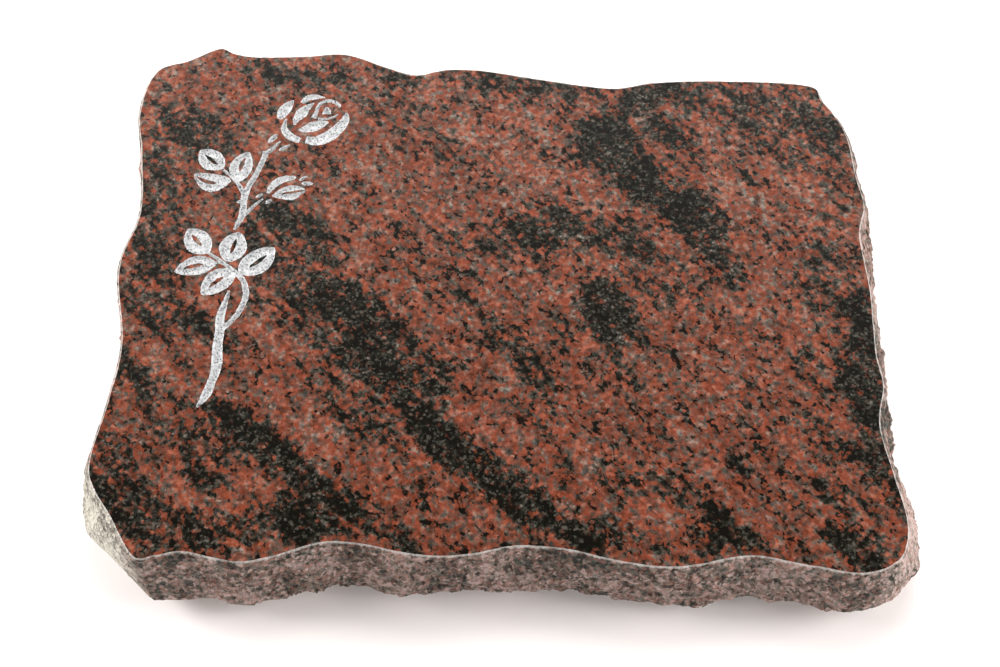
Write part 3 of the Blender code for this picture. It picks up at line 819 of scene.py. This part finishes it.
def stone_mesh(sizes, spray):
    """The whole stone as one closed mesh."""
    noise.seed_set(FRAY_SEED)
    bm = bmesh.new()
    map_layer = bm.loops.layers.uv.new("OFBake")
    rings = edge_rings(sizes)
    rows = [[bm.verts.new((point.x, point.y, height)) for point in ring] for height, ring in rings]
    count = len(rows[0])
    half = count // 2

    around = running_length(rings[0][1])
    down = [0.0]
    for (upper_height, upper), (lower_height, lower) in zip(rings, rings[1:]):
        slope = sum((start - end).length for start, end in zip(upper, lower)) / count
        down.append(down[-1] + math.hypot(slope, upper_height - lower_height))
    half_face = Vector((sizes.face_width, sizes.face_depth)) / 2
    edge_base = half_face.y * 2 * FACE_TEXELS + MAP_GAP * 2
    strip_height = down[-1] * EDGE_TEXELS + MAP_GAP
    for row, (upper, lower) in enumerate(zip(rows, rows[1:])):
        for index in range(count):
            last = index or count
            first = last - 1
            face = bm.faces.new((upper[first], upper[index], lower[index], lower[first]))
            face.material_index = BROKEN
            face.smooth = True
            strip = int(last > half)
            corners = ((first, row), (last, row), (last, row + 1), (first, row + 1))
            for loop, (column, level) in zip(face.loops, corners):
                along = (around[column] - around[half] * strip) * EDGE_TEXELS
                up = edge_base + strip_height * strip + down[level] * EDGE_TEXELS
                loop[map_layer].uv = ((MAP_GAP + along) / MAP_SIZE, up / MAP_SIZE)
    for edge in bm.edges:
        if all(vertex.co.z == sizes.thickness for vertex in edge.verts):
            edge.smooth = False

    bed = bm.faces.new(rows[-1])
    bed.material_index = SAWN
    bed.smooth = False
    lay_flat(bed, map_layer, edge_base + 2 * strip_height, half_face * BED_ROOM, BED_TEXELS)
    for edge in bed.edges:
        edge.smooth = False
    for face in add_face(bm, rows[0], sizes, spray):
        lay_flat(face, map_layer, MAP_GAP, half_face, FACE_TEXELS)

    solid_outline = face_outline(sizes)[::OUTLINE_STEPS // SOLID_OUTLINE_STEPS]
    shift = (
        FACE_LOW.x - min(point.x for point in solid_outline),
        FACE_LOW.y - min(point.y for point in solid_outline),
        0.0,
    )
    for vertex in bm.verts:
        for axis in range(3):
            moved = vertex.co[axis] + shift[axis]
            vertex.co[axis] = min(max(moved, SOLID_LOW[axis]), SOLID_HIGH[axis])
    mesh = bpy.data.meshes.new("marker_stone")
    bm.to_mesh(mesh)
    bm.free()
    return mesh


MIX_FIRST, MIX_SECOND, MIX_RESULT = 6, 7, 2  # sockets of a Mix node that are colours


class Wire:
    """One output of a shader node. Arithmetic on it adds Math nodes to the same tree."""

    def __init__(self, tree, socket=None):
        self.tree = tree
        self.socket = socket

    def node(self, kind, settings=(), sockets=(), output=0):
        """Adds a node: first its settings, then its sockets' values and links. Gives one output."""
        node = self.tree.nodes.new("ShaderNode" + kind)
        for name, value in dict(settings).items():
            if name == "stops":
                stops = node.color_ramp.elements
                while len(stops) < len(value):
                    stops.new(0.5)
                for stop, (position, tint) in zip(stops, value):
                    stop.position = position
                    stop.color = (*tint, 1.0)
            else:
                setattr(node, name, value)
        for name, value in dict(sockets).items():
            if isinstance(value, Wire):
                self.tree.links.new(value.socket, node.inputs[name])
            else:
                node.inputs[name].default_value = value
        return Wire(self.tree, node.outputs[output])

    def out(self, name):
        """Another output of the same node."""
        return Wire(self.tree, self.socket.node.outputs[name])

    def math(self, operation, *values):
        """Adds a Math node."""
        return self.node("Math", {"operation": operation}, enumerate(values))

    def vector(self, operation, *values):
        """Adds a Vector Math node."""
        return self.node("VectorMath", {"operation": operation}, enumerate(values))

    def __add__(self, other):
        return self.math("ADD", self, other)

    __radd__ = __add__

    def __sub__(self, other):
        return self.math("SUBTRACT", self, other)

    def __rsub__(self, other):
        return self.math("SUBTRACT", other, self)

    def __mul__(self, other):
        return self.math("MULTIPLY", self, other)

    __rmul__ = __mul__

    def ramp(self, low, high, start=0.0, end=1.0):
        """Eases from start where this is low to end where it is high."""
        return self.node(
            "MapRange",
            {"interpolation_type": "SMOOTHSTEP"},
            {"Value": self, "From Min": low, "From Max": high, "To Min": start, "To Max": end},
        )

    def mixed(self, first, second):
        """The first colour where this is 0, the second where it is 1."""
        return self.node(
            "Mix", {"data_type": "RGBA"}, {0: self, MIX_FIRST: first, MIX_SECOND: second}, MIX_RESULT
        )


def rgba(value):
    """A colour property as a socket takes it."""
    return (*value, 1.0)


def tints(light, *stops):
    """Colours that follow how light the grain is, each from its own lightness."""
    return light.node("ValToRGB", {"stops": stops}, {0: light})


def axis_of(place, name):
    """One coordinate of the place."""
    return place.node("SeparateXYZ", {}, {0: place}, name)


def one_each(grains):
    """A number of its own for each of these cells. Its outputs Green and Blue are two more."""
    return grains.node("SeparateColor", {}, {0: grains.out("Color")})


def fine_noise(place, size, detail=2.0, roughness=0.55):
    """Noise with features about this size."""
    return place.node(
        "TexNoise", {}, {"Vector": place, "Scale": 1 / size, "Detail": detail, "Roughness": roughness}
    )


def jostled(place, size, reach):
    """The place, pushed about by noise of this size, by up to about half the reach each way."""
    push = fine_noise(place, size).out("Color")
    pushed = place.vector("MULTIPLY_ADD", push, (reach,) * 3, place)
    return place.vector("SUBTRACT", pushed, (reach / 2,) * 3)


def cells(place, size, feature="F1"):
    """Irregular cells about this size: grains, planes or pits."""
    return place.node("TexVoronoi", {"feature": feature}, {"Vector": place, "Scale": 1 / size})


def lens(bent, x, y, half_length, half_breadth, turn, depth, edge=LENS_EDGE):
    """A soft oval: depth at its middle and nothing outside it. Millimetres from the face's middle."""
    local = bent.node(
        "Mapping", {"vector_type": "TEXTURE"},
        {
            "Vector": bent,
            "Location": (FACE_MIDDLE.x + x / 1000, FACE_MIDDLE.y + y / 1000, 0.0),
            "Rotation": (0.0, 0.0, math.radians(turn)),
            "Scale": (half_length * edge / 1000, half_breadth * edge / 1000, edge),
        },
    )
    nearness = local.node("TexGradient", {"gradient_type": "SPHERICAL"}, {"Vector": local}, 1)
    return nearness.ramp(0.0, 1 - LENS_CORE / edge, 0.0, depth)


def strongest(bent, lenses):
    """How strong the strongest of these lenses is here."""
    strength = 0.0
    for shape in lenses:
        strength = bent.math("MAXIMUM", lens(bent, *shape), strength)
    return strength


def along_flow(place, stretch):
    """The place, with the rock drawn out this many times along its flow."""
    turned = (0.0, 0.0, math.radians(FLOW_TURN))
    settings = {"Vector": place, "Rotation": turned, "Scale": (stretch, 1.0, 1.0)}
    return place.node("Mapping", {"vector_type": "TEXTURE"}, settings)


def minerals(place, looks):
    """The granite's colour wherever it is cut, and how light the grain is."""
    lenses = strongest(jostled(jostled(place, *LENS_SWAY), *LENS_FRAY), DARK_LENSES)
    size = looks.grain_size
    drawn = along_flow(place, FLOW_STRETCH)
    streaks = fine_noise(along_flow(place, STREAK_STRETCH), size * 2.2, 5.0, 0.68) - 0.5
    tides = fine_noise(drawn, size * 2.6, 2.0, 0.6) - 0.5
    blacks = fine_noise(drawn.vector("ADD", drawn, (0.0, size * 9, size * 4)), size * 0.9, 2.0, 0.55)
    grains = fine_noise(place, size * 0.9, 3.0, 0.68)
    hues = fine_noise(drawn.vector("ADD", drawn, (size * 7, 0.0, size * 3)), size, 2.0, 0.5)
    crystal = one_each(cells(jostled(place, size * 0.4, size * 0.4), size * 0.50))
    broken_up = (hues - 0.5) * 1.1 + (crystal.out("Green") - 0.5) * 0.35
    dark = (lenses * 0.95 + streaks * 1.3 - broken_up).ramp(0.10, 0.95)
    glint = one_each(cells(place, size * 0.30)).ramp(0.60, 1.0)
    blacks = blacks + (crystal.out("Blue") - 0.5) * 0.22 + tides * 0.30
    black = (looks.black_share + lenses * 0.13 + streaks * 0.5 - blacks).ramp(-0.07, 0.05)
    shade = dark.math("MAXIMUM", dark * 0.51, black * 0.46)
    # Darker and redder towards the front.
    deep = axis_of(place, "Y").ramp(DEEPENS_WITHIN, -DEEPENS_WITHIN)
    light = looks.lightness + (grains - 0.5) * 1.35 + (crystal - 0.5) * 0.28 + tides * 0.6 - shade
    light = light - streaks * 0.45 - deep * 0.08 + glint * (0.05 + dark * 0.40)
    red = looks.redness + (hues - 0.5) * 1.8 + (crystal.out("Green") - 0.5) * 0.65 - glint * 0.15
    red = red + deep * 0.04 - dark * 0.50 - black * 0.5
    greys = tints(
        light, (0.05, looks.mica), (0.33, looks.hornblende), (0.72, looks.quartz), (1.0, looks.pale_quartz)
    )
    reds = tints(
        light, (0.05, looks.dark_feldspar), (0.33, looks.brown_feldspar), (0.66, looks.feldspar),
        (1.0, looks.pale_feldspar),
    )
    return red.ramp(0.0, 1.0).mixed(greys, reds), light


def new_finish(name):
    """A material with its shader, and the place on the stone to work from."""
    material = bpy.data.materials.new(name)
    material.use_nodes = True
    tree = material.node_tree
    shader = tree.nodes["Principled BSDF"]
    place = Wire(tree).node("TexCoord", {}, {}, "Object")
    return material, shader, place


def feed(wire, shader, name):
    """Links a wire to one of the shader's sockets."""
    wire.tree.links.new(wire.socket, shader.inputs[name])


def bump(height, distance, strength=1.0):
    """A normal from a height."""
    return height.node("Bump", {}, {"Height": height, "Distance": distance, "Strength": strength})


def polished_granite(looks):
    """The polished face."""
    material, shader, place = new_finish("polished_granite")
    stone, light = minerals(place, looks)
    feed(stone, shader, "Base Color")
    feed(looks.polish + (1 - light) * 0.05, shader, "Roughness")
    return material


def broken_granite(looks, sizes):
    """The broken edge, with its bruised arris."""
    material, shader, place = new_finish("broken_granite")
    stone, light = minerals(place, looks)
    clumps = fine_noise(place, CLUMP_SIZE, 4.0, 0.62)
    powder = fine_noise(place, POWDER_SIZE, 3.0, 0.55)
    grit = cells(jostled(place, *GRIT_SWAY), GRIT_SIZE)
    chipped = jostled(place, *PLANE_SWAY)
    planes = cells(chipped, PLANE_SIZE)
    one_plane = one_each(planes)
    # Painted shade: thin dark lines where the chip planes meet stand in for the shadow in the creases
    # between them.
    to_crease = cells(chipped, PLANE_SIZE, "DISTANCE_TO_EDGE")
    crease_shade = to_crease.ramp(0.11, 0.0) * powder.ramp(0.36, 0.56)
    bent = jostled(place, *BREAK_SWAY)
    # Painted light in part: the sides and corners that face the side lights are painted paler, besides
    # their own paler broken stone.
    knocked_and_lit = strongest(bent, PALE_AND_LIT_BREAKS)
    one_grain = one_each(grit)
    pale = 0.66 + (one_grain - 0.5) * 0.90 + (powder - 0.5) * 2.5 + (clumps - 0.5) * 2.4
    pale = pale + (light - 0.5) * 0.9 + (one_plane - 0.5) * 0.30 - crease_shade * 0.50
    crushed = tints(
        pale + knocked_and_lit, (0.10, looks.crevice), (0.38, looks.dark_bruise), (0.60, looks.bruise),
        (0.84, looks.pale_bruise), (1.0, looks.powder),
    )
    reddish = one_grain.out("Green").ramp(0.62, 0.84) * 0.55
    greenish = one_grain.out("Blue").ramp(0.66, 0.84) * 0.50
    crushed = reddish.mixed(crushed, rgba(looks.red_bruise))
    crushed = greenish.mixed(crushed, rgba(looks.green_bruise))
    dusted = 0.76 + knocked_and_lit * 0.4
    broken = dusted.mixed(stone, crushed)
    # Painted light in part: the struck front left corner is painted palest, for the left light on it as
    # well as for its powdered stone.
    struck = lens(bent, *FRESH_AND_LIT_BREAK, edge=FRESH_EDGE)
    freshest_and_lit = (pale * 0.9 + 0.35).mixed(rgba(looks.dark_bruise), rgba(looks.fresh_break_and_light))
    height = axis_of(place, "Z") + (powder - 0.5) * sizes.arris
    line = height.ramp(sizes.thickness - sizes.arris * 5 / 6, sizes.thickness - sizes.arris / 3)
    skin = (line * (0.10 + powder * 1.0)).mixed(struck.mixed(broken, freshest_and_lit), rgba(looks.arris))
    feed(skin, shader, "Base Color")
    shader.inputs["Roughness"].default_value = 0.78
    relief = grit.out("Distance") * 0.35 + powder + planes.out("Distance") * 0.6
    feed(bump(relief, BREAK_BUMP), shader, "Normal")
    return material


def sawn_granite(looks):
    """The sawn bed, dull and marked by the saw."""
    material, shader, place = new_finish("sawn_granite")
    stone, _ = minerals(place, looks)
    dust = fine_noise(place, SAW_DUST, 4.0, 0.6)
    feed((0.42 + (dust - 0.5) * 0.6).mixed(stone, rgba(looks.bruise)), shader, "Base Color")
    shader.inputs["Roughness"].default_value = 0.66
    swing = place.node(
        "TexWave", {"wave_type": "RINGS", "rings_direction": "Z", "wave_profile": "SAW"},
        {"Vector": place.vector("ADD", place, (0.1, 0.9, 0.0)), "Scale": 24.0, "Distortion": 0.6},
    )
    feed(bump(swing * 0.6 + dust * 0.4, SAW_BUMP), shader, "Normal")
    return material


def silver_tone(looks):
    """Silver paint over the blasted grain of the rose."""
    material, shader, place = new_finish("silver_tone")
    grain = cells(jostled(place, *TONE_SWAY), TONE_GRAIN)
    # Painted shade: the dents of the blasted grain are painted dark, as the shade in them.
    pits = grain.out("Distance").ramp(0.44, 0.24)
    worn = fine_noise(place, TONE_WEAR, 3.0, 0.7).ramp(0.46, 0.68)
    feed((pits * 0.85 + worn * 0.5).mixed(rgba(looks.tone), rgba(looks.tone_shade_and_wear)), shader, "Base Color")
    shader.inputs["Roughness"].default_value = 0.5
    shader.inputs["Metallic"].default_value = 0.15
    feed(bump(grain.out("Distance") + worn * -0.5, TONE_BUMP, 0.8), shader, "Normal")
    return material


class MARKER_OT_stone(bpy.types.Operator):
    """Builds the granite slab with its blasted rose"""

    bl_idname = "marker.stone"
    bl_label = "Stone"

    def execute(self, context):
        sizes = context.scene.marker_sizes
        looks = context.scene.marker_looks
        stone = bpy.data.objects.new("marker_stone", stone_mesh(sizes, context.scene.marker_spray))
        context.scene.collection.objects.link(stone)
        for finish in (
            polished_granite(looks), broken_granite(looks, sizes), sawn_granite(looks), silver_tone(looks)
        ):
            stone.data.materials.append(finish)
        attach(stone, "root")
        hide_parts("slab")
        return {"FINISHED"}


def soft_light(name, watts, size, place, target, scene):
    """A square soft light that shines at the target."""
    light = bpy.data.lights.new(name, "AREA")
    light.energy = watts
    light.shape = "SQUARE"
    light.size = size
    lamp = bpy.data.objects.new(name, light)
    lamp.location = place
    lamp.rotation_euler = (target - Vector(place)).to_track_quat("-Z", "Y").to_euler()
    lamp.visible_glossy = False
    scene.collection.objects.link(lamp)


class MARKER_OT_stage(bpy.types.Operator):
    """Lays the floor and sets the lights and the camera"""

    bl_idname = "marker.stage"
    bl_label = "Stage"

    def execute(self, context):
        scene = context.scene
        stage = scene.marker_stage
        scene.view_settings.view_transform = "Standard"
        mesh = bpy.data.meshes.new("floor")
        ways = ((-1, -1), (1, -1), (1, 1), (-1, 1))
        corners = [(x * FLOOR_REACH, y * FLOOR_REACH, 0.0) for x, y in ways]
        mesh.from_pydata(corners, [], [(0, 1, 2, 3)])
        floor = bpy.data.objects.new("floor", mesh)
        scene.collection.objects.link(floor)
        material, shader, _ = new_finish("pale_floor")
        shader.inputs["Base Color"].default_value = rgba(stage.floor)
        shader.inputs["Roughness"].default_value = 0.9
        shader.inputs["Specular IOR Level"].default_value = 0.0
        mesh.materials.append(material)

        world = bpy.data.worlds.new("studio")
        world.use_nodes = True
        scene.world = world
        way = Wire(world.node_tree).node("TexCoord", {}, {}, "Generated")
        low, high = [math.sin(math.radians(degrees)) for degrees in (SKY_UP_TO, CEILING_FROM)]
        glow = axis_of(way, "Z").ramp(low, high, stage.sky, stage.ceiling)
        background = world.node_tree.nodes["Background"]
        world.node_tree.links.new(glow.socket, background.inputs["Strength"])
        background.inputs["Color"].default_value = (1.0, 1.0, 1.0, 1.0)

        middle = Vector((0.0, 0.0, SOLID_HIGH.z))
        for name, (size, place) in LIGHTS.items():
            soft_light(name, getattr(stage, name), size, place, middle, scene)

        camera_data = bpy.data.cameras.new("camera")
        camera_data.lens = stage.lens
        camera_data.sensor_width = 36.0
        camera_data.clip_start = NEAREST_SEEN
        camera = bpy.data.objects.new("camera", camera_data)
        turned = Euler((math.pi / 2 - stage.elevation, 0.0, stage.turn))
        camera.rotation_euler = turned
        backwards = turned.to_matrix() @ Vector((0.0, 0.0, 1.0))
        camera.location = Vector((*AIM, SOLID_HIGH.z)) + backwards * stage.distance
        scene.collection.objects.link(camera)
        scene.camera = camera
        return {"FINISHED"}


class MARKER_PT_sidebar(bpy.types.Panel):
    """Lists the sizes and the looks, with the buttons that build the stone and the stage"""

    bl_idname = "MARKER_PT_sidebar"
    bl_label = "Flat grave marker"
    bl_space_type = "VIEW_3D"
    bl_region_type = "UI"
    bl_category = "Grave marker"

    def draw(self, context):
        for group in GROUPS:
            settings = getattr(context.scene, group)
            box = self.layout.box()
            for name in settings.bl_rna.properties.keys():
                if name not in ("rna_type", "name"):
                    box.prop(settings, name)
        for operator in (MARKER_OT_stone, MARKER_OT_stage):
            self.layout.operator(operator.bl_idname)


GROUPS = {
    "marker_sizes": StoneSizes,
    "marker_spray": SpraySizes,
    "marker_looks": StoneLooks,
    "marker_stage": StageLooks,
}
CLASSES = (*GROUPS.values(), MARKER_OT_stone, MARKER_OT_stage, MARKER_PT_sidebar)


def register():
    for each in CLASSES:
        bpy.utils.register_class(each)
    for name, group in GROUPS.items():
        setattr(bpy.types.Scene, name, bpy.props.PointerProperty(type=group))


def unregister():
    for name in GROUPS:
        delattr(bpy.types.Scene, name)
    for each in reversed(CLASSES):
        bpy.utils.unregister_class(each)


def main():
    register()
    bpy.ops.marker.stone()
    bpy.ops.marker.stage()


if __name__ == "__main__":
    main()
